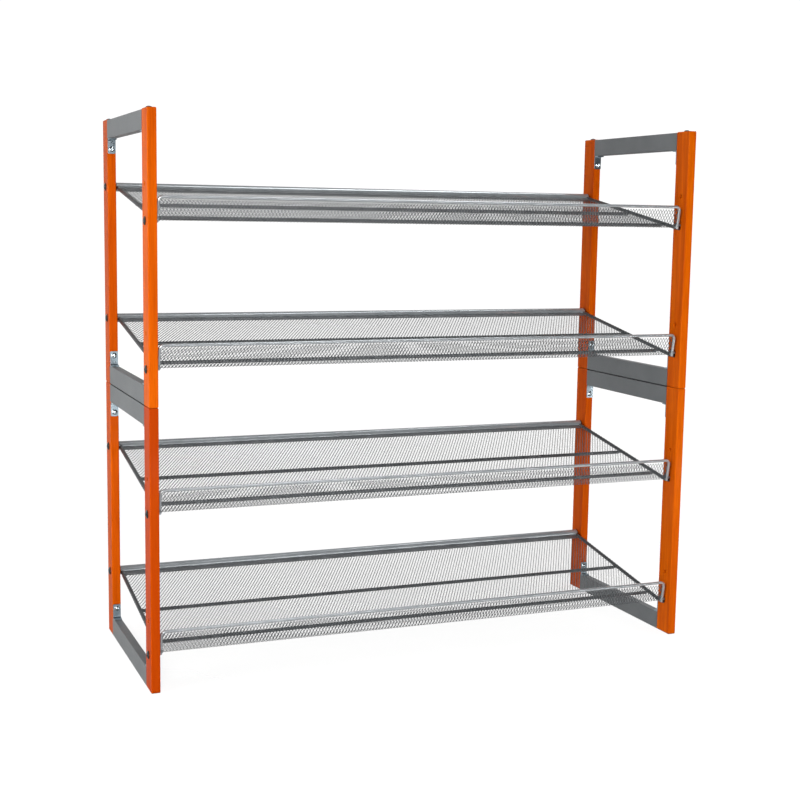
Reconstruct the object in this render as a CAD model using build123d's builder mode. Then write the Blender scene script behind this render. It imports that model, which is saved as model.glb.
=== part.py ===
from build123d import *
import os

# Stackable tiered shoe rack: two identical units, one standing on the other.
# Each unit has two side frames of wooden posts and steel rails, and two sloping
# mesh shelves.  X runs along the shelves, Y from front to back, Z up, and the
# origin is at the middle of the footprint on the floor.  Millimetres.

# Overall sizes
rack_width = 787
rack_depth = 298
unit_height = 369
stack_gap = 0.2  # between the units

# Side frames
post_thickness = 12
post_depth = 32
post_edge_radius = 1.2
post_end_chamfer = 1
rail_height = 25.4
rail_corner_radius = 1.4
rail_wall = 1.2
rail_setback = 0.8  # top rails below the post tops

# Corner brackets
bracket_width = 11
bracket_thickness = 1.6
bracket_post_leg = 20.5
bracket_rail_leg = 10
bracket_bend_radius = 1.5
bracket_end_radius = 1.5
bracket_screw_height = 14.5  # from the rail's face to the screw

# Fasteners: (shank radius, shank length, head radius, head height, head edge)
bracket_screw = (1.7, 12, 3.9, 2.1, 0.7)
rear_bolt = (3, 29.5, 5.5, 2.6, 0.9)
front_bolt = (3, 13.2, 5.5, 2.6, 0.9)
recess_width_share = 0.2  # cross recess, as shares of the head radius and height
recess_span_share = 1.1
recess_depth_share = 0.55
bolt_hole_radius = 3.2
bracket_hole_radius = 1.9

# Stacking plugs on the post tops, and the sockets under the posts
plug_head_radius = 3.8
plug_head_height = 2.2
plug_shank_radius = 2.5
plug_shank_length = 14
socket_radius = 4.2
socket_depth = 3

# Shelves
shelf_drop = 45  # front bolt below the rear bolt
shelf_end_gap = 1.5
tube_radius = 6.25
tube_wall = 1.2
tube_end_radius = 1
end_plug_length = 16
running_clearance = 0.06
side_rod_radius = 2.5
crossbar_radius = 2.5
lip_wire_radius = 2.1
lip_wire_foot = 1.6  # below the deck
lip_height = 32.5
lip_wire_bend = 6.2
strip_width = 13.5
strip_thickness = 1
strip_hole_radius = 1.1
strip_hole_pitch = 4.5
strip_hole_inset = 3.5
mesh_thickness = 0.8
mesh_bend = 3
crossbar_places = (0.5, 0.857)  # shares of the way from the rear to the front bolt

# Lugs on the lip wire's feet, which rest on the front bolts
lug_length = 11
lug_width = 4
lug_height = 2.6
lug_clearance = 0.3  # above the bolt, and to the post

# Derived places
post_x = (rack_width - post_thickness) / 2
post_y = (rack_depth - post_depth) / 2
inner_face_x = rack_width / 2 - post_thickness
inner_face_y = rack_depth / 2 - post_depth
bolt_run = 2 * post_y
shelf_tilt = Axis((0, 0, 0), (0, bolt_run, shelf_drop)).direction.get_angle(Vector(0, 1, 0))
deck_length = (bolt_run**2 + shelf_drop**2) ** 0.5
shelf_half_length = inner_face_x - shelf_end_gap
side_rod_x = shelf_half_length - side_rod_radius
lip_wire_x = shelf_half_length - lip_wire_radius
mesh_half_width = side_rod_x - side_rod_radius
mesh_back = tube_radius + strip_width

sides = {"left": -1, "right": 1}
ends = {"front": -1, "rear": 1}
units = {"lower": 0, "upper": unit_height + stack_gap}
tier_heights = (unit_height / 4, unit_height * 3 / 4)


def dome_radius(base_radius, rise):
    """Radius of the sphere whose cap has this base radius and rise."""
    return (base_radius**2 + rise**2) / (2 * rise)


def deck_plane(pivot_z):
    """Plane of a shelf's deck: X along the rack, Y up the slope, origin at the pivot."""
    return Plane((0, post_y, pivot_z), x_dir=(1, 0, 0), z_dir=(0, 0, 1)).rotated((shelf_tilt, 0, 0))


def shelf_profile_plane(pivot_z, x):
    """Plane across a shelf at x: its X runs down the deck and its Y is the deck's normal."""
    deck = deck_plane(pivot_z)
    origin = Vector(x, post_y, pivot_z)
    return Plane(origin, x_dir=-deck.y_dir, z_dir=Vector(-1, 0, 0))


def make_post(unit, side, end):
    base_z = units[unit]
    x = sides[side] * post_x
    y = ends[end] * post_y
    with BuildPart() as post:
        with BuildSketch(Plane.XY.offset(base_z)):
            with Locations((x, y)):
                Rectangle(post_thickness, post_depth)
        extrude(amount=unit_height)
        fillet(post.edges().filter_by(Axis.Z), post_edge_radius)
        chamfer(post.faces().filter_by(Axis.Z).edges(), post_end_chamfer)
        for tier_z in tier_heights:
            hole_heights = [tier_z]
            if end == "front":
                hole_heights.append(tier_z - shelf_drop)
            for hole_z in hole_heights:
                with Locations(Location((x, y, base_z + hole_z), (0, 90, 0))):
                    Hole(bolt_hole_radius)
        with Locations((x, y, base_z + unit_height)):
            Hole(plug_shank_radius, plug_shank_length)
        with Locations(Location((x, y, base_z), (180, 0, 0))):
            Hole(socket_radius, socket_depth)
        for seat in bracket_screw_seats(unit):
            if abs(seat.origin.X - x) < 1 and seat.origin.Y * y > 0:
                with Locations(seat.location):
                    Hole(bracket_screw[0], bracket_screw[1])
    post.part.label = f"{unit}_{side}_{end}_post"
    export_step(post.part, f"parts/{post.part.label}.step")


def make_rail(unit, side, level):
    z = units[unit] + rail_height / 2
    if level == "top":
        z += unit_height - rail_height - rail_setback
    with BuildPart() as rail:
        with BuildSketch(Plane.XZ.offset(-inner_face_y)):
            with Locations((sides[side] * post_x, z)):
                RectangleRounded(post_thickness, rail_height, rail_corner_radius)
                RectangleRounded(
                    post_thickness - 2 * rail_wall,
                    rail_height - 2 * rail_wall,
                    rail_corner_radius - rail_wall,
                    mode=Mode.SUBTRACT,
                )
        extrude(amount=2 * inner_face_y)
    rail.part.label = f"{unit}_{side}_{level}_rail"
    export_step(rail.part, f"parts/{rail.part.label}.step")


def bracket_corners(unit):
    """Inner corners of the side frames, each with its directions along the rail and the post."""
    above_rail = units[unit] + rail_height
    below_rail = units[unit] + unit_height - rail_setback - rail_height
    corners = []
    for side in sides.values():
        for end in ends.values():
            corners.append((side * post_x, end * inner_face_y, above_rail, -end, 1))
            corners.append((side * post_x, end * inner_face_y, below_rail, -end, -1))
    return corners


def bracket_screw_seats(unit):
    """Planes under the bracket screws' heads, each facing along its rail."""
    seats = []
    for x, y, z, along, up in bracket_corners(unit):
        origin = (x, y + along * bracket_thickness, z + up * bracket_screw_height)
        seats.append(Plane(origin, x_dir=(1, 0, 0), z_dir=(0, along, 0)))
    return seats


def make_brackets(unit):
    with BuildPart() as brackets:
        for x, y, z, along, up in bracket_corners(unit):
            with BuildSketch(Plane.YZ.offset(x - bracket_width / 2)) as profile:
                with BuildLine():
                    Polyline(
                        (y, z),
                        (y + along * bracket_rail_leg, z),
                        (y + along * bracket_rail_leg, z + up * bracket_thickness),
                        (y + along * bracket_thickness, z + up * bracket_thickness),
                        (y + along * bracket_thickness, z + up * bracket_post_leg),
                        (y, z + up * bracket_post_leg),
                        close=True,
                    )
                make_face()
                bend = profile.vertices().sort_by_distance((y, z))
                fillet(bend[0], bracket_bend_radius + bracket_thickness)
            extrude(amount=bracket_width)
            inner_bend = brackets.edges().filter_by(Axis.X).sort_by_distance(
                (x, y + along * bracket_thickness, z + up * bracket_thickness)
            )[0]
            fillet(inner_bend, bracket_bend_radius)
            tip_edges = brackets.edges().filter_by(Axis.Y).sort_by_distance(
                (x, y + along * bracket_thickness / 2, z + up * bracket_post_leg)
            )[0:2]
            fillet(tip_edges, bracket_end_radius)
        for seat in bracket_screw_seats(unit):
            with Locations(seat.location):
                Hole(bracket_hole_radius, 2 * bracket_thickness)
    brackets.part.label = f"{unit}_corner_brackets"
    export_step(brackets.part, f"parts/{brackets.part.label}.step")


def make_fasteners(label, seats, size):
    """Cross-recess screws whose heads stand on the seats and whose shanks run below them."""
    shank_radius, shank_length, head_radius, head_height, head_edge = size
    with BuildPart() as fasteners:
        for seat in seats:
            with BuildSketch(Plane(seat.origin, x_dir=seat.x_dir, z_dir=-seat.y_dir)):
                with BuildLine():
                    Polyline(
                        (0, head_height),
                        (0, -shank_length),
                        (shank_radius, -shank_length),
                        (shank_radius, 0),
                        (head_radius, 0),
                        (head_radius, head_edge),
                    )
                    RadiusArc(
                        (head_radius, head_edge),
                        (0, head_height),
                        -dome_radius(head_radius, head_height - head_edge),
                    )
                make_face()
            revolve(axis=Axis(seat.origin, seat.z_dir))
            with BuildSketch(seat.offset(head_height)):
                Rectangle(recess_span_share * head_radius, recess_width_share * head_radius)
                Rectangle(recess_width_share * head_radius, recess_span_share * head_radius)
            extrude(amount=-recess_depth_share * head_height, mode=Mode.SUBTRACT)
    fasteners.part.label = label
    export_step(fasteners.part, f"parts/{label}.step")


def bolt_seats(unit, end, drop):
    """Planes under the shelf bolts' heads on the posts' outer faces."""
    seats = []
    for side in sides.values():
        for tier_z in tier_heights:
            origin = (side * rack_width / 2, ends[end] * post_y, units[unit] + tier_z - drop)
            seats.append(Plane(origin, x_dir=(0, 1, 0), z_dir=(side, 0, 0)))
    return seats


def make_stacking_plugs(unit):
    top_z = units[unit] + unit_height
    with BuildPart() as plugs:
        for side in sides.values():
            for end in ends.values():
                origin = (side * post_x, end * post_y, top_z)
                with BuildSketch(Plane(origin, x_dir=(1, 0, 0), z_dir=(0, -1, 0))):
                    with BuildLine():
                        Polyline(
                            (0, plug_head_height),
                            (0, -plug_shank_length),
                            (plug_shank_radius, -plug_shank_length),
                            (plug_shank_radius, 0),
                            (plug_head_radius, 0),
                            (plug_head_radius, plug_head_height / 2),
                        )
                        RadiusArc(
                            (plug_head_radius, plug_head_height / 2),
                            (0, plug_head_height),
                            -dome_radius(plug_head_radius, plug_head_height / 2),
                        )
                    make_face()
                revolve(axis=Axis(origin, (0, 0, 1)))
    plugs.part.label = f"{unit}_stacking_plugs"
    export_step(plugs.part, f"parts/{plugs.part.label}.step")


def make_back_tube(shelf, pivot_z):
    with BuildPart() as tube:
        with BuildSketch(Plane.YZ.offset(-shelf_half_length)):
            with Locations((post_y, pivot_z)):
                Circle(tube_radius)
                Circle(tube_radius - tube_wall, mode=Mode.SUBTRACT)
        extrude(amount=2 * shelf_half_length)
        outer_rims = tube.edges().filter_by(GeomType.CIRCLE).group_by(SortBy.RADIUS)[-1]
        fillet(outer_rims, tube_end_radius)
    tube.part.label = f"{shelf}_back_tube"
    export_step(tube.part, f"parts/{tube.part.label}.step")


def make_end_plugs(shelf, pivot_z):
    with BuildPart() as plugs:
        for start_x in (-shelf_half_length, shelf_half_length - end_plug_length):
            with BuildSketch(Plane.YZ.offset(start_x)):
                with Locations((post_y, pivot_z)):
                    Circle(tube_radius - tube_wall)
                    Circle(rear_bolt[0] + running_clearance, mode=Mode.SUBTRACT)
            extrude(amount=end_plug_length)
    plugs.part.label = f"{shelf}_end_plugs"
    export_step(plugs.part, f"parts/{plugs.part.label}.step")


def make_side_rods(shelf, pivot_z):
    deck = deck_plane(pivot_z)
    with BuildPart() as rods:
        for side in sides.values():
            start = deck.from_local_coords((side * side_rod_x, -tube_radius, 0))
            with BuildSketch(Plane(start, x_dir=(1, 0, 0), z_dir=-deck.y_dir)):
                Circle(side_rod_radius)
            extrude(amount=deck_length - lip_wire_radius - tube_radius)
    rods.part.label = f"{shelf}_side_rods"
    export_step(rods.part, f"parts/{rods.part.label}.step")


def make_crossbars(shelf, pivot_z):
    below_deck = -(mesh_thickness / 2 + crossbar_radius)
    with BuildPart() as crossbars:
        with BuildSketch(shelf_profile_plane(pivot_z, mesh_half_width)):
            with Locations([(place * deck_length, below_deck) for place in crossbar_places]):
                Circle(crossbar_radius)
        extrude(amount=2 * mesh_half_width)
    crossbars.part.label = f"{shelf}_crossbars"
    export_step(crossbars.part, f"parts/{crossbars.part.label}.step")


def make_lip_wire(shelf, pivot_z):
    deck = deck_plane(pivot_z)
    top = lip_height - lip_wire_radius
    lip = Plane(deck.from_local_coords((0, -deck_length, 0)), x_dir=(1, 0, 0), z_dir=-deck.y_dir)
    with BuildPart() as wire:
        with BuildLine(lip) as path:
            FilletPolyline(
                (-lip_wire_x, -lip_wire_foot),
                (-lip_wire_x, top),
                (lip_wire_x, top),
                (lip_wire_x, -lip_wire_foot),
                radius=lip_wire_bend,
            )
        with BuildSketch(Plane(path.line @ 0, z_dir=path.line % 0)):
            Circle(lip_wire_radius)
        sweep()
        fillet(wire.faces().filter_by(GeomType.PLANE).edges(), lip_wire_radius / 2)
    wire.part.label = f"{shelf}_lip_wire"
    export_step(wire.part, f"parts/{wire.part.label}.step")


def make_rear_strip(shelf, pivot_z):
    """Flat strip welded along the tube, holding the mesh's rear edge."""
    hole_count = int(2 * mesh_half_width / strip_hole_pitch)
    with BuildPart() as strip:
        with BuildSketch(deck_plane(pivot_z).offset(-strip_thickness / 2)):
            with Locations((0, -tube_radius - strip_width / 2)):
                Rectangle(2 * mesh_half_width, strip_width)
            with Locations((0, -tube_radius - strip_hole_inset)):
                with GridLocations(strip_hole_pitch, 0, hole_count, 1):
                    Circle(strip_hole_radius, mode=Mode.SUBTRACT)
        extrude(amount=strip_thickness)
    strip.part.label = f"{shelf}_rear_strip"
    export_step(strip.part, f"parts/{strip.part.label}.step")


def make_mesh(shelf, pivot_z):
    half = mesh_thickness / 2
    back = mesh_back
    front = deck_length
    top = lip_height - 2 * lip_wire_radius
    with BuildPart() as mesh:
        with BuildSketch(shelf_profile_plane(pivot_z, mesh_half_width)):
            with BuildLine():
                Line((back, half), (front - mesh_bend, half))
                RadiusArc((front - mesh_bend, half), (front - half, mesh_bend), -(mesh_bend - half))
                Line((front - half, mesh_bend), (front - half, top))
                Line((front - half, top), (front + half, top))
                Line((front + half, top), (front + half, mesh_bend))
                RadiusArc((front + half, mesh_bend), (front - mesh_bend, -half), mesh_bend + half)
                Line((front - mesh_bend, -half), (back, -half))
                Line((back, -half), (back, half))
            make_face()
        extrude(amount=2 * mesh_half_width)
        across_lip = Axis((0, 0, 0), deck_plane(pivot_z).y_dir)
        across_edges = mesh.edges().filter_by(across_lip)
        lip_corners = across_edges.filter_by(lambda edge: edge.length < 2 * mesh_thickness)
        fillet(lip_corners, lip_wire_bend - lip_wire_radius)
    mesh.part.label = f"{shelf}_mesh"
    export_step(mesh.part, f"parts/{mesh.part.label}.step")


def make_lugs(shelf, pivot_z):
    """Small blocks beside the lip wire's feet, sitting just above the front bolts."""
    deck = deck_plane(pivot_z)
    lug_x = inner_face_x - lug_clearance - lug_width / 2
    lug_y = -(deck_length + bolt_run) / 2
    with BuildPart() as lugs:
        with BuildSketch(deck.offset(front_bolt[0] + lug_clearance)):
            for side in sides.values():
                with Locations((side * lug_x, lug_y)):
                    RectangleRounded(lug_width, lug_length, lug_width / 4)
                with Locations((side * lip_wire_x, -deck_length)):
                    Circle(lip_wire_radius, mode=Mode.SUBTRACT)
        extrude(amount=lug_height)
    lugs.part.label = f"{shelf}_rest_lugs"
    export_step(lugs.part, f"parts/{lugs.part.label}.step")


def make_unit(unit):
    for side in sides:
        for end in ends:
            make_post(unit, side, end)
        for level in ("top", "bottom"):
            make_rail(unit, side, level)
    make_brackets(unit)
    make_fasteners(f"{unit}_bracket_screws", bracket_screw_seats(unit), bracket_screw)
    make_fasteners(f"{unit}_rear_bolts", bolt_seats(unit, "rear", 0), rear_bolt)
    make_fasteners(f"{unit}_front_bolts", bolt_seats(unit, "front", shelf_drop), front_bolt)
    make_stacking_plugs(unit)


def make_shelf(shelf, pivot_z):
    make_back_tube(shelf, pivot_z)
    make_end_plugs(shelf, pivot_z)
    make_rear_strip(shelf, pivot_z)
    make_side_rods(shelf, pivot_z)
    make_crossbars(shelf, pivot_z)
    make_lip_wire(shelf, pivot_z)
    make_mesh(shelf, pivot_z)
    make_lugs(shelf, pivot_z)


os.makedirs("parts", exist_ok=True)
shelf_number = 1
for unit_name, unit_base in units.items():
    make_unit(unit_name)
    for tier_height in tier_heights:
        make_shelf(f"shelf_{shelf_number}", unit_base + tier_height)
        shelf_number += 1
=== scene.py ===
import bpy
import math
from mathutils import Matrix, Vector, noise


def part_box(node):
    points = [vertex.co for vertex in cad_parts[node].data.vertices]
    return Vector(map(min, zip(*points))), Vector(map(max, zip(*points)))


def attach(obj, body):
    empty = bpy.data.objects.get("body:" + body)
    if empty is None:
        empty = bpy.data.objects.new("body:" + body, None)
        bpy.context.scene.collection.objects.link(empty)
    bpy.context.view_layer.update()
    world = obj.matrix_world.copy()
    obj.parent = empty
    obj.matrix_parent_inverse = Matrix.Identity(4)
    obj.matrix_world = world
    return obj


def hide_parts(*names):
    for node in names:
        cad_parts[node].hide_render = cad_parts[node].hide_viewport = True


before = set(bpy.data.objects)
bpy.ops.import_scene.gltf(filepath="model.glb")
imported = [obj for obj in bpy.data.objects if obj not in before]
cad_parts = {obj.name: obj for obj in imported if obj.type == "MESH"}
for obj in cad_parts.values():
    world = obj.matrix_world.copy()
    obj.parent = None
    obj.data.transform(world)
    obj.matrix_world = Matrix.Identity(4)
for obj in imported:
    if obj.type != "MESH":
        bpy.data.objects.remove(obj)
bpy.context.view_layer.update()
scene = bpy.context.scene

UNITS = ("lower", "upper")
SIDES = ("left", "right")
ENDS = ("front", "rear")
SHELVES = (1, 2, 3, 4)
MM = 0.001


# ---------------------------------------------------------------- node helpers
class Nodes:
    """Short way to build one material's node tree."""

    def __init__(self, name):
        self.material = bpy.data.materials.new(name)
        self.material.use_nodes = True
        self.tree = self.material.node_tree
        self.shader = self.tree.nodes["Principled BSDF"]

    def add(self, kind, inputs=None, **settings):
        node = self.tree.nodes.new("ShaderNode" + kind)
        for key, value in settings.items():
            setattr(node, key, value)
        for key, value in (inputs or {}).items():
            self.put(node, key, value)
        return node

    def put(self, node, key, value):
        socket = node.inputs[key]
        if isinstance(value, bpy.types.NodeSocket):
            self.tree.links.new(value, socket)
        else:
            socket.default_value = value

    def surface(self, **values):
        for key, value in values.items():
            self.put(self.shader, key.replace("_", " "), value)

    def place(self, stretch=(1, 1, 1), offset=(0, 0, 0), turn=(0, 0, 0)):
        coords = self.add("TexCoord").outputs["Object"]
        mapping = self.add("Mapping", {"Vector": coords})
        mapping.inputs["Location"].default_value = offset
        mapping.inputs["Rotation"].default_value = turn
        mapping.inputs["Scale"].default_value = stretch
        return mapping.outputs[0]

    def noise(self, vector, scale, detail=4.0, roughness=0.55, distortion=0.0):
        inputs = {"Vector": vector, "Scale": scale, "Detail": detail, "Roughness": roughness}
        inputs["Distortion"] = distortion
        return self.add("TexNoise", inputs).outputs["Fac"]

    def ramp(self, value, *stops):
        node = self.add("ValToRGB", {"Fac": value})
        elements = node.color_ramp.elements
        while len(elements) < len(stops):
            elements.new(0.5)
        for element, (position, colour) in zip(elements, stops):
            element.position = position
            element.color = colour if len(colour) == 4 else (*colour, 1)
        return node.outputs["Color"]

    def grey(self, value, *stops):
        return self.ramp(value, *[(at, (v, v, v)) for at, v in stops])

    def math(self, operation, a, b=0.0, clamp=False):
        node = self.add("Math", operation=operation, use_clamp=clamp)
        self.put(node, 0, a)
        self.put(node, 1, b)
        return node.outputs[0]

    def mix(self, factor, a, b, blend="MIX"):
        node = self.add("Mix", data_type="RGBA", blend_type=blend)
        for socket, value in ((node.inputs[0], factor), (node.inputs[6], a), (node.inputs[7], b)):
            if isinstance(value, bpy.types.NodeSocket):
                self.tree.links.new(value, socket)
            elif isinstance(value, tuple):
                socket.default_value = (*value[:3], 1)
            else:
                socket.default_value = value
        return node.outputs[2]

    def edges(self, radius):
        """About 1 on the object's edges and 0 away from them."""
        soft = self.add("Bevel", {"Radius": radius}, samples=4).outputs[0]
        sharp = self.add("NewGeometry").outputs["Normal"]
        dot = self.add("VectorMath", operation="DOT_PRODUCT")
        self.put(dot, 0, soft)
        self.put(dot, 1, sharp)
        return self.math("MULTIPLY", self.math("SUBTRACT", 1.0, dot.outputs["Value"]), 6.0, True)

    def painted_crevice_shade(self, reach, strength):
        """Painted shade: up to strength where other surfaces stand closer than reach, and 0 in the open."""
        open_air = self.add("AmbientOcclusion", {"Distance": reach}, samples=6).outputs["AO"]
        return self.grey(open_air, (0.25, strength), (0.75, 0.0))

    def bump(self, height, strength, distance):
        node = self.add("Bump", {"Height": height, "Strength": strength, "Distance": distance})
        self.put(self.shader, "Normal", node.outputs[0])


# ------------------------------------------------------------------ materials
def wood(name, seed, tone):
    """Stained wood with its grain up the post; a tone over 0 is a darker, redder piece."""
    n = Nodes(name)
    shift = (seed * 1.73, seed * 0.91, seed * 2.37)
    along = n.place((1, 1, 0.07), shift)
    figure = n.noise(along, 70, 5, 0.6, 0.6)
    fine = n.noise(n.place((1, 1, 0.03), shift), 900, 3, 0.6)
    pores = n.noise(n.place((1, 1, 0.02), shift), 2200, 2, 0.5)
    broad = n.noise(n.place((1, 1, 0.35), shift), 9, 3, 0.5)
    base = n.ramp(
        figure,
        (0.25, (0.50, 0.064, 0.0006)),
        (0.46, (0.72, 0.110, 0.0008)),
        (0.60, (0.82, 0.148, 0.0010)),
        (0.78, (0.58, 0.078, 0.0007)),
    )
    base = n.mix(n.grey(fine, (0.35, 0.38), (0.60, 0.0)), base, (0.42, 0.042, 0.0006))
    base = n.mix(n.grey(pores, (0.30, 0.45), (0.42, 0.0)), base, (0.26, 0.026, 0.0006))
    base = n.mix(n.grey(broad, (0.35, 0.0), (0.70, 0.25)), base, (0.84, 0.165, 0.0015))
    base = n.mix(tone, base, (0.44, 0.038, 0.0006))
    # lighter yellow-orange edges: partly wear, partly a painted highlight where the edges catch the light
    edge_wear_and_highlight = n.math("MULTIPLY", n.edges(0.0011), n.grey(broad, (0.3, 0.15), (0.7, 0.6)))
    base = n.mix(edge_wear_and_highlight, base, (0.88, 0.24, 0.012))
    # painted shade: the wood turns near-black in its holes and where other parts stand close
    base = n.mix(n.painted_crevice_shade(0.005, 0.8), base, (0.07, 0.008, 0.001))
    n.surface(Base_Color=base, Roughness=n.grey(figure, (0.2, 0.42), (0.8, 0.30)))
    n.surface(Coat_Weight=0.02, Coat_Roughness=0.12, Coat_IOR=1.45, Specular_IOR_Level=0.015)
    n.bump(n.math("ADD", n.math("MULTIPLY", pores, 0.6), n.math("MULTIPLY", fine, 0.5)), 0.25, 0.0002)
    return n.material


def coated_rail():
    n = Nodes("rail_coat")
    peel = n.noise(n.place(), 1400, 2, 0.5)
    cloud = n.noise(n.place(), 18, 4, 0.6)
    specks = n.noise(n.place(), 3800, 1, 0.5)
    base = n.ramp(cloud, (0.3, (0.128, 0.138, 0.144)), (0.7, (0.162, 0.173, 0.180)))
    base = n.mix(n.grey(specks, (0.62, 0.0), (0.74, 0.5)), base, (0.30, 0.31, 0.33))
    base = n.mix(n.math("MULTIPLY", n.edges(0.0008), 0.45), base, (0.34, 0.36, 0.37))
    # painted shade: the coat turns near-black in the rail's corners, where it meets the posts and brackets
    base = n.mix(n.painted_crevice_shade(0.003, 0.8), base, (0.012, 0.013, 0.014))
    n.surface(Base_Color=base, Metallic=0.15, Roughness=n.grey(peel, (0.3, 0.50), (0.7, 0.38)))
    n.bump(peel, 0.22, 0.00015)
    return n.material


def plated(name, dark, light, roughness, brushed=0.0, metallic=1.0, texture=0.18):
    """Plated or silver-coated steel: clouded colour, fine grit and lighter worn edges."""
    n = Nodes(name)
    cloud = n.noise(n.place(), 60, 5, 0.65, 0.3)
    grit = n.noise(n.place(), 5200, 2, 0.6)
    lines = n.noise(n.place((0.02, 1, 1)), 3000, 2, 0.6)
    base = n.ramp(cloud, (0.32, dark), (0.68, light))
    base = n.mix(n.grey(grit, (0.35, 1.5 * texture), (0.55, 0.0)), base, tuple(0.55 * v for v in dark))
    base = n.mix(n.math("MULTIPLY", n.edges(0.0005), 0.4), base, tuple(min(1, 1.3 * v) for v in light))
    low, high = roughness
    n.surface(Base_Color=base, Metallic=metallic, Roughness=n.grey(cloud, (0.3, high), (0.7, low)))
    height = n.math("ADD", n.math("MULTIPLY", grit, 1 - brushed), n.math("MULTIPLY", lines, brushed))
    n.bump(height, texture, 0.0001)
    return n.material


def black_plastic():
    n = Nodes("end_plug_plastic")
    grain = n.noise(n.place(), 2600, 3, 0.6)
    n.surface(Base_Color=n.ramp(grain, (0.3, (0.012, 0.012, 0.013)), (0.7, (0.035, 0.035, 0.036))))
    n.surface(Roughness=n.grey(grain, (0.3, 0.55), (0.7, 0.42)))
    n.bump(grain, 0.3, 0.0001)
    return n.material


rail_coat = coated_rail()
zinc = plated("bracket_zinc", (0.24, 0.31, 0.36), (0.42, 0.50, 0.55), (0.24, 0.40))
screw_zinc = plated("screw_zinc", (0.40, 0.46, 0.50), (0.66, 0.71, 0.74), (0.16, 0.28))
bolt_nickel = plated(
    "bolt_nickel", (0.060, 0.060, 0.065), (0.12, 0.12, 0.125), (0.04, 0.08), texture=0.04
)
plug_dark = plated("plug_dark", (0.020, 0.020, 0.023), (0.055, 0.055, 0.060), (0.22, 0.38))
tube_silver = plated(
    "tube_silver",
    (0.36, 0.39, 0.41),
    (0.44, 0.47, 0.49),
    (0.13, 0.20),
    brushed=0.5,
    metallic=0.45,
    texture=0.05,
)
# painted shade: the side rods share the tube's silver coating, darkened in colour where the light leaves
# them dark
rod_silver_painted_shade = plated(
    "rod_silver_painted_shade", (0.075, 0.082, 0.087), (0.13, 0.14, 0.147), (0.28, 0.40), brushed=0.4, metallic=0.6
)
# painted shade: the crossbars under the deck are the same coating, darkened in colour for the shade they sit
# in
crossbar_silver_painted_shade = plated(
    "crossbar_silver_painted_shade", (0.14, 0.15, 0.158), (0.22, 0.235, 0.245), (0.24, 0.34), brushed=0.4, metallic=0.5
)
wire_silver = plated(
    "lip_wire_silver",
    (0.42, 0.45, 0.47),
    (0.54, 0.57, 0.59),
    (0.14, 0.22),
    brushed=0.4,
    metallic=0.55,
    texture=0.05,
)
# painted shade: the rear strip is the same coating, darkened in colour for its shadow under the tube
strip_silver_painted_shade = plated(
    "strip_silver_painted_shade", (0.12, 0.13, 0.138), (0.19, 0.20, 0.21), (0.30, 0.42), brushed=0.3, metallic=0.4
)
# painted shade: the expanded mesh is the same coating, darkened in colour for the dark it reflects and the
# shade it sits in
mesh_silver_painted_shade = plated("mesh_silver_painted_shade", (0.048, 0.053, 0.057), (0.080, 0.088, 0.094), (0.30, 0.42), metallic=0.3)
weld_metal = plated("weld_metal", (0.12, 0.125, 0.13), (0.26, 0.27, 0.28), (0.35, 0.5), metallic=0.7)
plastic = black_plastic()


def paint(node, material):
    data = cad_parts[node].data
    data.materials.clear()
    data.materials.append(material)


# one for each post, lower unit first, left before right and front before rear
POST_TONES = (0.80, 0.36, 0.06, 0.45, 0.20, 0.45, 0.06, 0.34)
post_number = 0
for unit in UNITS:
    for side in SIDES:
        for end in ENDS:
            post_number += 1
            tone = POST_TONES[post_number - 1]
            paint(f"{unit}_{side}_{end}_post", wood(f"post_wood_{post_number}", post_number, tone))
        for level in ("top", "bottom"):
            paint(f"{unit}_{side}_{level}_rail", rail_coat)
    paint(f"{unit}_corner_brackets", zinc)
    paint(f"{unit}_bracket_screws", screw_zinc)
    paint(f"{unit}_front_bolts", bolt_nickel)
    paint(f"{unit}_rear_bolts", bolt_nickel)
    paint(f"{unit}_stacking_plugs", plug_dark)
for i in SHELVES:
    paint(f"shelf_{i}_back_tube", tube_silver)
    paint(f"shelf_{i}_end_plugs", plastic)
    paint(f"shelf_{i}_rear_strip", strip_silver_painted_shade)
    paint(f"shelf_{i}_side_rods", rod_silver_painted_shade)
    paint(f"shelf_{i}_crossbars", crossbar_silver_painted_shade)
    paint(f"shelf_{i}_lip_wire", wire_silver)
    paint(f"shelf_{i}_rest_lugs", weld_metal)


# -------------------------------------------------------------- expanded mesh
CELL_ACROSS = 4.5 * MM
CELL_ALONG = 8.0 * MM
STRAND_WIDTH = 0.84 * MM
STRAND_THICK = 0.17 * MM
LIP_SLIMNESS = 0.62  # width of the strands up the lip, as a share of the deck's
STRAND_TWIST = 0.30 * MM  # how far a strand leans across its width
TUBE_RADIUS = 6.25 * MM
STRIP_WIDTH = 13.5 * MM
ROD_RADIUS = 2.5 * MM
WRAP_GAP = 0.25 * MM
WRAP_RISE = 7 * MM
WRAP_TURN = math.radians(150)
BEND = 3 * MM
WIRE_RADIUS = 2.1 * MM
LIP_HEIGHT = 32.5 * MM
STRIP_LAP = 0.9 * MM  # how far the sheet laps the strip
LIP_LAP = 1.2 * WIRE_RADIUS  # how far short of the lip height the sheet ends
BEND_STEPS = 8
WRAP_STEPS = 12
WRAP_STOP = 6 * MM  # the wrap round the side rods ends this far short of the front bend
WRAP_SLIMNESS = 0.7  # a strand's lean and thickness on the wrapped edge, as a share of the deck's
SEAM_SHARE = 0.85  # share of the rows that belong to the deck piece
CROSSBAR_RADIUS = 2.5 * MM

BOLT_RUN = 266 * MM
BOLT_DROP = 45 * MM
DECK_LENGTH = math.hypot(BOLT_RUN, BOLT_DROP)
DOWN = Vector((0, -BOLT_RUN / DECK_LENGTH, -BOLT_DROP / DECK_LENGTH))
NORMAL = Vector((0, -BOLT_DROP / DECK_LENGTH, BOLT_RUN / DECK_LENGTH))


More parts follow.
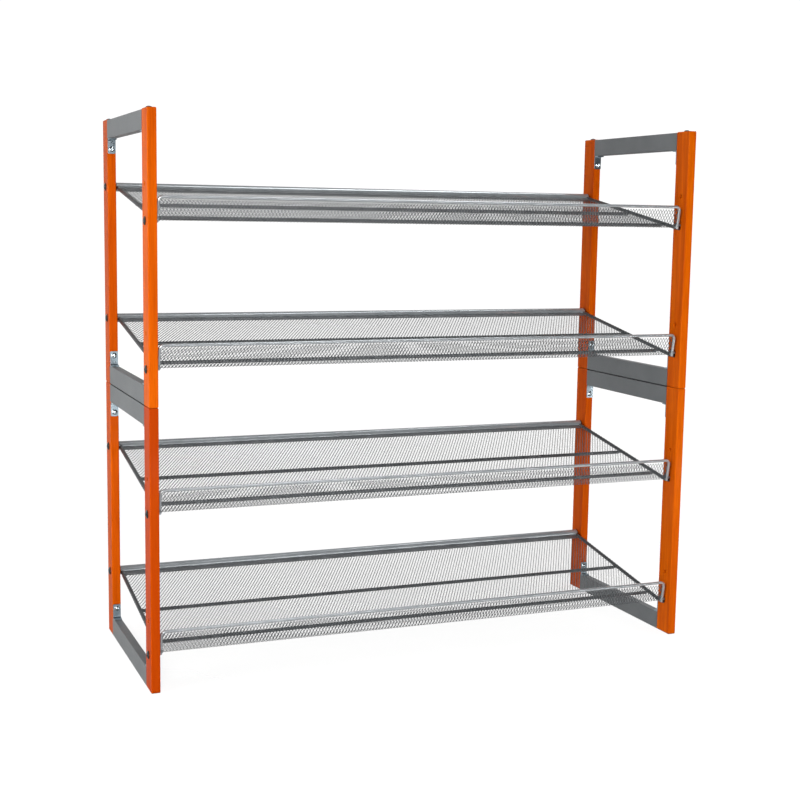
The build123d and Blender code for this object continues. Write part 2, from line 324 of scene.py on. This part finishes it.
class Path:
    """Points along a plane curve, found by their length from its start."""

    def __init__(self, points):
        self.points = points
        self.marks = [0.0]
        for a, b in zip(points, points[1:]):
            self.marks.append(self.marks[-1] + math.dist(a, b))

    @property
    def length(self):
        return self.marks[-1]

    def at(self, s):
        s = min(max(s, 0.0), self.length)
        k = 0
        low, high = 0, len(self.marks) - 2
        while low <= high:
            k = (low + high) // 2
            if s < self.marks[k]:
                high = k - 1
            elif s > self.marks[k + 1]:
                low = k + 1
            else:
                break
        a, b = self.points[k], self.points[k + 1]
        step = self.marks[k + 1] - self.marks[k]
        t = (s - self.marks[k]) / step
        point = (a[0] + (b[0] - a[0]) * t, a[1] + (b[1] - a[1]) * t)
        along = ((b[0] - a[0]) / step, (b[1] - a[1]) / step)
        return point, along


def shelf_pivot(i):
    """Middle of a shelf's back tube, on the line that the shelf tilts about."""
    low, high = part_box(f"shelf_{i}_back_tube")
    return Vector((0, (low.y + high.y) / 2, (low.z + high.z) / 2))


def along_path():
    """Down the deck, round the bend and up the lip: (distance down the deck, height over it)."""
    points = [(TUBE_RADIUS + STRIP_WIDTH - STRIP_LAP, 0.0), (DECK_LENGTH - BEND, 0.0)]
    for k in range(1, BEND_STEPS + 1):
        turn = math.radians(90 * k / BEND_STEPS)
        points.append((DECK_LENGTH - BEND + BEND * math.sin(turn), BEND - BEND * math.cos(turn)))
    points.append((DECK_LENGTH, LIP_HEIGHT - LIP_LAP))
    return Path(points)


def across_path(rod_x):
    """From the middle out over a side rod and round it: (distance from the middle, height)."""
    reach = ROD_RADIUS + WRAP_GAP
    start = rod_x - WRAP_RISE
    points = [(0.0, 0.0), (start, 0.0)]
    for k in range(1, BEND_STEPS + 1):
        t = k / BEND_STEPS
        points.append((start + WRAP_RISE * t, reach * (3 * t * t - 2 * t**3)))
    for k in range(1, WRAP_STEPS + 1):
        turn = WRAP_TURN * k / WRAP_STEPS
        points.append((rod_x + reach * math.sin(turn), reach * math.cos(turn)))
    return Path(points)


def build_mesh_parts(i):
    """One shelf's expanded mesh, as a diamond lattice in a deck piece and a front piece."""
    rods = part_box(f"shelf_{i}_side_rods")
    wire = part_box(f"shelf_{i}_lip_wire")
    pivot = shelf_pivot(i)
    rod_x = rods[1].x - ROD_RADIUS
    lip_edge = wire[1].x - 1.5 * WIRE_RADIUS
    down, over = along_path(), across_path(rod_x)
    half_across, half_along = CELL_ACROSS / 2, CELL_ALONG / 2
    columns = int(over.length / half_across)
    rows = int(down.length / half_along)
    deck_end = down.marks[1]
    wrap_end = deck_end - WRAP_STOP
    seam = 2 * int(0.5 * SEAM_SHARE * rows)
    slant = math.hypot(half_across, half_along)
    reach_x = STRAND_WIDTH / 2 * slant / half_along
    reach_s = STRAND_WIDTH / 2 * slant / half_across

    def place(u, s, lift):
        """A point u across and s down the sheet, lifted off its middle surface."""
        (d, h), (td, th) = down.at(s)
        (x, rise), (tx, tr) = over.at(abs(u))
        if s > wrap_end:
            x, rise, tx, tr = abs(u), 0.0, 1.0, 0.0
        sign = 1 if u >= 0 else -1
        # the sheet's normal leans both with the lip's bend and with the wrap round the rod
        normal = (-tr * sign, -th * tx, td * tx)
        if rise:
            lift *= WRAP_SLIMNESS
        offset = (x * sign, d, h + rise)
        point = [offset[k] + normal[k] * lift for k in range(3)]
        return pivot + Vector((point[0], 0, 0)) + DOWN * point[1] + NORMAL * point[2]

    def inside(a, b):
        u, s = a * half_across, b * half_along
        if s > wrap_end:
            return abs(u) < lip_edge
        return abs(u) <= over.length

    for part, first, last in (("deck", 0, seam), ("front", seam, rows)):
        verts, faces, corner = [], [], {}
        for b in range(first, last + 1):
            for a in range(-columns, columns + 1):
                if (a + b) % 2 == 0 or not inside(a, b):
                    continue
                u, s = a * half_across, b * half_along
                corner[a, b] = len(verts)
                slim = LIP_SLIMNESS if s > deck_end else 1.0
                wide, long, lean = slim * reach_x, slim * reach_s, slim * STRAND_TWIST
                for du, ds, tilt in ((wide, 0, -lean), (0, long, 0), (-wide, 0, lean), (0, -long, 0)):
                    for face in (0.5, -0.5):
                        verts.append(place(u + du, s + ds, tilt + face * STRAND_THICK))
        for (a, b), base in corner.items():
            # the front piece starts from the deck piece's last row, which it doesn't draw again
            ghost = part == "front" and b == first

            def at(k, face, base=base):
                return base + 2 * k + face

            if not ghost:
                faces.append([at(k, 0) for k in range(4)])
                faces.append([at(k, 1) for k in (3, 2, 1, 0)])
            # (neighbour, this node's two corners, the neighbour's two corners)
            for da, db, mine, theirs in ((1, 1, (0, 1), (3, 2)), (-1, 1, (1, 2), (0, 3))):
                other = corner.get((a + da, b + db))
                if other is not None:
                    p, q = at(mine[0], 0), at(mine[1], 0)
                    r, t = other + 2 * theirs[0], other + 2 * theirs[1]
                    faces += [[p, r, t, q], [q + 1, t + 1, r + 1, p + 1]]
                    faces += [[p + 1, r + 1, r, p], [q, t, t + 1, q + 1]]
                    if ghost:
                        faces.append([p, q, q + 1, p + 1])
                elif not ghost:
                    p, q = at(mine[0], 0), at(mine[1], 0)
                    faces.append([q, p, p + 1, q + 1])
            if not ghost:
                for da, db, mine in ((-1, -1, (2, 3)), (1, -1, (3, 0))):
                    if (a + da, b + db) not in corner:
                        p, q = at(mine[0], 0), at(mine[1], 0)
                        faces.append([q, p, p + 1, q + 1])
        data = bpy.data.meshes.new(f"shelf_{i}_mesh_{part}")
        data.from_pydata(verts, [], faces)
        data.materials.append(mesh_silver_painted_shade)
        piece = bpy.data.objects.new(data.name, data)
        scene.collection.objects.link(piece)
        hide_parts(f"shelf_{i}_mesh")
        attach(piece, f"shelf_{i}")


for i in SHELVES:
    build_mesh_parts(i)


# ---------------------------------------------------------------------- welds
# half sizes of a bead across the shelf, down the deck and off the deck
CROSSBAR_BEAD = (2.6 * MM, 2.9 * MM, 2.3 * MM)
TUBE_BEAD = (2.8 * MM, 1.9 * MM, 2.9 * MM)
LIP_BEAD = (2.4 * MM, 1.8 * MM, 2.2 * MM)
LIP_BEAD_RISE = 1.0 * MM
LIP_BEAD_INSET = 0.8 * MM
CROSSBAR_BEAD_OUTSET = 0.6 * MM
RIPPLE = 0.16
RIPPLE_SCALE = 700


def add_blob(verts, faces, centre, radii):
    """One rippled bead of weld metal, as a closed skin over the deck's three directions."""
    rings, spokes = 7, 12
    first = len(verts)

    def point(turn, rise):
        shape = (math.cos(turn) * math.sin(rise), math.sin(turn) * math.sin(rise), math.cos(rise))
        ripple = 1 + RIPPLE * noise.noise(RIPPLE_SCALE * centre + 1.7 * Vector(shape))
        across, along, up = (shape[k] * radii[k] * ripple for k in range(3))
        return centre + Vector((across, 0, 0)) + along * DOWN + up * NORMAL

    verts.append(point(0, 0))
    for ring in range(1, rings):
        for spoke in range(spokes):
            verts.append(point(2 * math.pi * spoke / spokes, math.pi * ring / rings))
    verts.append(point(0, math.pi))
    last = len(verts) - 1
    for spoke in range(spokes):
        after = (spoke + 1) % spokes
        # X, DOWN and NORMAL are a left-handed set, so the corners run the other way round
        faces.append((first, first + 1 + after, first + 1 + spoke))
        for ring in range(rings - 2):
            a, b = first + 1 + ring * spokes, first + 1 + (ring + 1) * spokes
            faces.append((a + spoke, a + after, b + after, b + spoke))
        end = last - spokes
        faces.append((last, end + spoke, end + after))


def build_welds(i):
    """Beads where the crossbars, the tube and the lip wire meet the side rods."""
    pivot = shelf_pivot(i)
    bars = [vertex.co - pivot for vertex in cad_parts[f"shelf_{i}_crossbars"].data.vertices]
    reaches = [point.dot(DOWN) for point in bars]
    heights = [point.dot(NORMAL) for point in bars]
    bar_height = (min(heights) + max(heights)) / 2
    bar_end = max(point.x for point in bars)
    rod_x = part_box(f"shelf_{i}_side_rods")[1].x - ROD_RADIUS
    verts, faces = [], []
    for side in (-1, 1):
        for reach in (min(reaches) + CROSSBAR_RADIUS, max(reaches) - CROSSBAR_RADIUS):
            centre = pivot + Vector((side * (bar_end + CROSSBAR_BEAD_OUTSET), 0, 0)) + reach * DOWN
            centre += 0.75 * bar_height * NORMAL
            add_blob(verts, faces, centre, CROSSBAR_BEAD)
        rod = pivot + Vector((side * rod_x, 0, 0))
        add_blob(verts, faces, rod + 1.06 * TUBE_RADIUS * DOWN, TUBE_BEAD)
        # the bead at the lip stays within the rod's outline below and outside, clear of the front bolt
        lip_end = rod + (DECK_LENGTH - WIRE_RADIUS) * DOWN + LIP_BEAD_RISE * NORMAL
        lip_end.x -= side * LIP_BEAD_INSET
        add_blob(verts, faces, lip_end, LIP_BEAD)
    data = bpy.data.meshes.new(f"shelf_{i}_welds")
    data.from_pydata(verts, [], faces)
    data.shade_smooth()
    data.materials.append(weld_metal)
    piece = bpy.data.objects.new(data.name, data)
    scene.collection.objects.link(piece)
    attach(piece, f"shelf_{i}")


for i in SHELVES:
    build_welds(i)


# ------------------------------------------------------------- camera and light
SENSOR_WIDTH = 36
LENS = 62.04
CAMERA_PLACE = (-0.7478, -1.8398, 0.6101)
CAMERA_ANGLES = (22.24, 7.55, 0.92)  # degrees to the right of +Y, down, and of roll


def build_camera():
    data = bpy.data.cameras.new("camera")
    data.sensor_width = SENSOR_WIDTH
    data.lens = LENS
    camera = bpy.data.objects.new("camera", data)
    scene.collection.objects.link(camera)
    yaw, pitch, roll = (math.radians(angle) for angle in CAMERA_ANGLES)
    ahead = Vector((math.sin(yaw) * math.cos(pitch), math.cos(yaw) * math.cos(pitch), -math.sin(pitch)))
    level = Vector((math.cos(yaw), -math.sin(yaw), 0))
    rise = level.cross(ahead)
    right = level * math.cos(roll) + rise * math.sin(roll)
    up = rise * math.cos(roll) - level * math.sin(roll)
    turn = Matrix((right, up, -ahead)).transposed().to_4x4()
    camera.matrix_world = Matrix.Translation(CAMERA_PLACE) @ turn
    scene.camera = camera


def build_floor():
    """White floor round the rack, which fades out into the white background."""
    reach, rings, spokes = 2.4, 12, 48
    verts = [(0, 0, 0)]
    faces = []
    for ring in range(1, rings + 1):
        for spoke in range(spokes):
            angle = 2 * math.pi * spoke / spokes
            radius = reach * ring / rings
            verts.append((radius * math.cos(angle), radius * math.sin(angle), 0))
    for spoke in range(spokes):
        after = (spoke + 1) % spokes
        faces.append((0, 1 + spoke, 1 + after))
        for ring in range(rings - 1):
            inner, outer = 1 + ring * spokes, 1 + (ring + 1) * spokes
            faces.append((inner + spoke, outer + spoke, outer + after, inner + after))
    data = bpy.data.meshes.new("floor")
    data.from_pydata(verts, [], faces)
    n = Nodes("floor_white")
    cloud = n.noise(n.place(), 2, 3, 0.5)
    place = n.add("TexCoord").outputs["Object"]
    distance = n.add("VectorMath", {0: place}, operation="LENGTH").outputs["Value"]
    n.surface(Base_Color=n.ramp(cloud, (0.3, (0.60, 0.60, 0.60)), (0.7, (0.64, 0.64, 0.64))), Roughness=0.9)
    n.surface(Specular_IOR_Level=0.1, Emission_Color=(1, 1, 1, 1), Emission_Strength=0.62)
    n.surface(Alpha=n.grey(n.math("DIVIDE", distance, reach), (0.38, 0.35), (0.95, 0.0)))
    data.materials.append(n.material)
    floor = bpy.data.objects.new("floor", data)
    scene.collection.objects.link(floor)


def area_light(name, place, aim, size, power, spread=180):
    """A soft rectangle of light at place, turned towards aim; spread is in degrees."""
    data = bpy.data.lights.new(name, "AREA")
    data.shape = "RECTANGLE"
    data.size, data.size_y = size
    data.energy = power
    data.spread = math.radians(spread)
    light = bpy.data.objects.new(name, data)
    scene.collection.objects.link(light)
    light.location = place
    light.rotation_euler = (Vector(aim) - Vector(place)).to_track_quat("-Z", "Y").to_euler()


def build_world():
    """A studio with a lit white sweep behind the rack and a dark room in front and overhead."""
    world = bpy.data.worlds.new("studio")
    scene.world = world
    world.use_nodes = True
    tree = world.node_tree

    def add(kind, *inputs, **settings):
        node = tree.nodes.new("ShaderNode" + kind)
        for key, value in settings.items():
            setattr(node, key, value)
        for socket, value in zip(node.inputs, inputs):
            if isinstance(value, bpy.types.NodeSocket):
                tree.links.new(value, socket)
            elif value is not None:
                socket.default_value = value
        return node

    def fade(value, low, high, start, end):
        return add("MapRange", value, low, high, start, end, interpolation_type="SMOOTHSTEP").outputs[0]

    direction = add("SeparateXYZ", add("TexCoord").outputs["Generated"])
    sweep = fade(direction.outputs["Y"], -0.35, 0.75, 0.10, 0.80)
    overhead = fade(direction.outputs["Z"], 0.25, 0.90, 1.0, 0.40)
    below = fade(direction.outputs["Z"], -0.50, -0.05, 0.25, 1.0)
    strength = add("Math", sweep, overhead, operation="MULTIPLY").outputs[0]
    strength = add("Math", strength, below, operation="MULTIPLY").outputs[0]
    white = (1, 1, 1, 1)
    room = add("Background", white, strength)
    backdrop = add("Background", white, 1.05)
    path = add("LightPath")
    mix = add("MixShader", path.outputs["Is Camera Ray"], room.outputs[0], backdrop.outputs[0])
    tree.links.new(mix.outputs[0], tree.nodes["World Output"].inputs["Surface"])


def build_light():
    build_world()
    area_light("key", (-0.9, -2.3, 0.70), (0, 0, 0.40), size=(0.9, 1.1), power=6.3, spread=60)
    area_light("top", (0.75, -0.35, 2.6), (0.1, 0, 0.3), size=(2.2, 0.5), power=20)
    area_light("left", (-1.2, -0.3, 0.5), (-0.3, 0, 0.4), size=(0.5, 1.0), power=6.5)
    area_light("right", (2.2, 0.5, 0.9), (0.3, 0, 0.4), size=(1.4, 1.2), power=12)
    area_light("low_strip", (0.6, -1.2, 0.05), (0.2, 0.13, 0.2), size=(1.8, 0.03), power=4)


build_camera()
build_floor()
build_light()
scene.view_settings.view_transform = "Standard"
scene.view_settings.look = "None"
